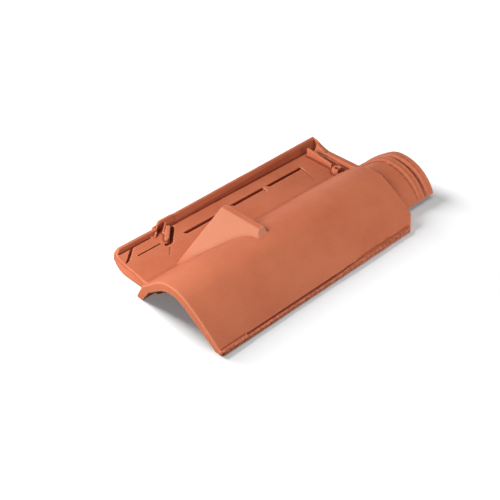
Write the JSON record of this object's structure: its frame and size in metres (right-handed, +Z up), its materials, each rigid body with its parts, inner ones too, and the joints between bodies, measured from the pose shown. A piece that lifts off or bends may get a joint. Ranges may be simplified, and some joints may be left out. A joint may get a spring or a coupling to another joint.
{
  "type": "snow guard roof tile",
  "caption": "Interlocking fired-clay roof tile with a half-round barrel beside a flat pan, a ribbed collar at the head and a raised triangular stop that holds snow on the roof.",
  "frame": {"origin": "centre of the bounding box in plan, on the plane the tile rests on", "axes": "+Y along the tile from the nose to the collar, up the roof slope; +X across it from the raised left rim to the barrel's right foot; +Z up, away from the roof"},
  "size_m": [0.26, 0.486, 0.066],
  "materials": {
    "fired_clay": "matt, unglazed fired red clay with a fine grain"
  },
  "bodies": {
    "root": {"snow_guard_tile": "fired_clay"}
  },
  "joints": []
}
